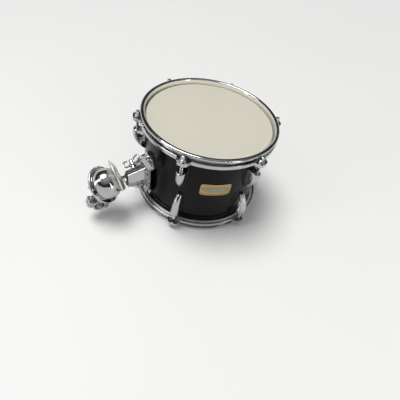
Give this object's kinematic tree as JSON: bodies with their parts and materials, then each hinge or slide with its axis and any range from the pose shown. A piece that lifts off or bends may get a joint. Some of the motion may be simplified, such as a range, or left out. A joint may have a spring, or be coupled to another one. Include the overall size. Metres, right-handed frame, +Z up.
{
  "type": "tom tom drum",
  "caption": "Small black lacquered tom drum with chrome triple-flanged hoops, short lugs, coated head and a side bracket carrying a hexagonal rod, ball joint and pipe clamp.",
  "frame": {"origin": "on the drum's axis, in the plane of the lower rim that the drum stands on", "axes": "+Z up along the drum axis, the badge faces -Y, lug columns every 60 degrees from +X, the mount at 201 degrees from +X"},
  "size_m": [0.3949, 0.276, 0.197],
  "materials": {
    "black_lacquer": "gloss black lacquer over wood ply",
    "coated_film": "white coated polyester film",
    "clear_film": "smooth hazy polyester film",
    "aluminium": "satin channel",
    "chrome": "bright chrome plate",
    "zinc_steel": "zinc plated steel",
    "black_rubber": "moulded black rubber",
    "black_nylon": "moulded black nylon",
    "ball_resin": "dark grey moulded resin",
    "badge_gold": "polished pale gold",
    "badge_panel": "satin grey green enamel"
  },
  "bodies": {
    "drum": {"badge_inlay": "badge_panel", "badge_plate": "badge_gold", "batter_flesh_hoop": "aluminium", "batter_head": "coated_film", "batter_hoop": "chrome", "lug_bottom_1": "chrome", "lug_bottom_2": "chrome", "lug_bottom_3": "chrome", "lug_bottom_4": "chrome", "lug_bottom_5": "chrome", "lug_bottom_6": "chrome", "lug_gaskets": "black_rubber", "lug_screws": "zinc_steel", "lug_top_1": "chrome", "lug_top_2": "chrome", "lug_top_3": "chrome", "lug_top_4": "chrome", "lug_top_5": "chrome", "lug_top_6": "chrome", "lug_washers": "zinc_steel", "mount_bolts": "chrome", "mount_bracket": "chrome", "mount_nuts": "zinc_steel", "mount_pads": "black_rubber", "receiver_body": "chrome", "receiver_insert": "black_nylon", "receiver_screws": "zinc_steel", "resonant_flesh_hoop": "aluminium", "resonant_head": "clear_film", "resonant_hoop": "chrome", "rod_washers": "chrome", "shell": "black_lacquer", "swivel_nuts": "zinc_steel", "vent_grommet": "chrome"},
    "tension_rod_top_1": {"tension_rod_top_1": "chrome"},
    "tension_rod_top_2": {"tension_rod_top_2": "chrome"},
    "tension_rod_top_3": {"tension_rod_top_3": "chrome"},
    "tension_rod_top_4": {"tension_rod_top_4": "chrome"},
    "tension_rod_top_5": {"tension_rod_top_5": "chrome"},
    "tension_rod_top_6": {"tension_rod_top_6": "chrome"},
    "tension_rod_bottom_1": {"tension_rod_bottom_1": "chrome"},
    "tension_rod_bottom_2": {"tension_rod_bottom_2": "chrome"},
    "tension_rod_bottom_3": {"tension_rod_bottom_3": "chrome"},
    "tension_rod_bottom_4": {"tension_rod_bottom_4": "chrome"},
    "tension_rod_bottom_5": {"tension_rod_bottom_5": "chrome"},
    "tension_rod_bottom_6": {"tension_rod_bottom_6": "chrome"},
    "receiver_wing_bolt": {"receiver_wing_bolt": "chrome"},
    "rod_arm": {"hex_rod": "chrome", "rod_ball": "ball_resin"},
    "ball_liner": {"ball_liner": "black_nylon"},
    "ball_housing": {"socket_dome": "chrome", "socket_base": "chrome", "front_dish": "chrome", "housing_screws": "zinc_steel", "clamp_base": "chrome", "clamp_cap": "chrome", "clamp_nuts": "zinc_steel"},
    "ball_lock_bolt": {"ball_lock_bolt": "chrome"},
    "clamp_bolt_1": {"clamp_bolt_1": "chrome"},
    "clamp_bolt_2": {"clamp_bolt_2": "chrome"}
  },
  "joints": [
    {"name": "top_rod_1_turn", "type": "hinge", "parent": "drum", "child": "tension_rod_top_1", "pos_m": [0.142, 0, 0.17], "axis": [0, 0, 1], "continuous": true},
    {"name": "top_rod_2_turn", "type": "hinge", "parent": "drum", "child": "tension_rod_top_2", "pos_m": [0.071, 0.12298, 0.17], "axis": [0, 0, 1], "continuous": true},
    {"name": "top_rod_3_turn", "type": "hinge", "parent": "drum", "child": "tension_rod_top_3", "pos_m": [-0.071, 0.12298, 0.17], "axis": [0, 0, 1], "continuous": true},
    {"name": "top_rod_4_turn", "type": "hinge", "parent": "drum", "child": "tension_rod_top_4", "pos_m": [-0.142, 0, 0.17], "axis": [0, 0, 1], "continuous": true},
    {"name": "top_rod_5_turn", "type": "hinge", "parent": "drum", "child": "tension_rod_top_5", "pos_m": [-0.071, -0.12298, 0.17], "axis": [0, 0, 1], "continuous": true},
    {"name": "top_rod_6_turn", "type": "hinge", "parent": "drum", "child": "tension_rod_top_6", "pos_m": [0.071, -0.12298, 0.17], "axis": [0, 0, 1], "continuous": true},
    {"name": "bottom_rod_1_turn", "type": "hinge", "parent": "drum", "child": "tension_rod_bottom_1", "pos_m": [0.142, 0, 0.027], "axis": [0, 0, 1], "continuous": true},
    {"name": "bottom_rod_2_turn", "type": "hinge", "parent": "drum", "child": "tension_rod_bottom_2", "pos_m": [0.071, 0.12298, 0.027], "axis": [0, 0, 1], "continuous": true},
    {"name": "bottom_rod_3_turn", "type": "hinge", "parent": "drum", "child": "tension_rod_bottom_3", "pos_m": [-0.071, 0.12298, 0.027], "axis": [0, 0, 1], "continuous": true},
    {"name": "bottom_rod_4_turn", "type": "hinge", "parent": "drum", "child": "tension_rod_bottom_4", "pos_m": [-0.142, 0, 0.027], "axis": [0, 0, 1], "continuous": true},
    {"name": "bottom_rod_5_turn", "type": "hinge", "parent": "drum", "child": "tension_rod_bottom_5", "pos_m": [-0.071, -0.12298, 0.027], "axis": [0, 0, 1], "continuous": true},
    {"name": "bottom_rod_6_turn", "type": "hinge", "parent": "drum", "child": "tension_rod_bottom_6", "pos_m": [0.071, -0.12298, 0.027], "axis": [0, 0, 1], "continuous": true},
    {"name": "receiver_bolt_turn", "type": "hinge", "parent": "drum", "child": "receiver_wing_bolt", "pos_m": [-0.15084, -0.03677, 0.08818], "axis": [-0.3368, 0.8773, 0.342], "continuous": true},
    {"name": "rod_slide", "type": "slide", "parent": "drum", "child": "rod_arm", "axis": [-0.9336, -0.3584, 0], "range_m": [0, 0.03]},
    {"name": "ball_swivel", "type": "hinge", "parent": "rod_arm", "child": "ball_liner", "pos_m": [-0.20259, -0.07777, 0.081], "axis": [-0.9336, -0.3584, 0], "continuous": true},
    {"name": "ball_tilt", "type": "hinge", "parent": "ball_liner", "child": "ball_housing", "pos_m": [-0.20259, -0.07777, 0.081], "axis": [0.3584, -0.9336, 0], "range_deg": [-35.5, 9.5]},
    {"name": "lock_bolt_turn", "type": "hinge", "parent": "ball_housing", "child": "ball_lock_bolt", "pos_m": [-0.21863, -0.05654, 0.06323], "axis": [-0.5015, 0.6633, -0.5555], "continuous": true},
    {"name": "clamp_bolt_1_turn", "type": "hinge", "parent": "ball_housing", "child": "clamp_bolt_1", "pos_m": [-0.20795, -0.07982, 0.02966], "axis": [0.3792, 0.1455, 0.9138], "continuous": true},
    {"name": "clamp_bolt_2_turn", "type": "hinge", "parent": "ball_housing", "child": "clamp_bolt_2", "pos_m": [-0.23457, -0.09004, 0.04234], "axis": [0.3792, 0.1455, 0.9138], "continuous": true}
  ]
}
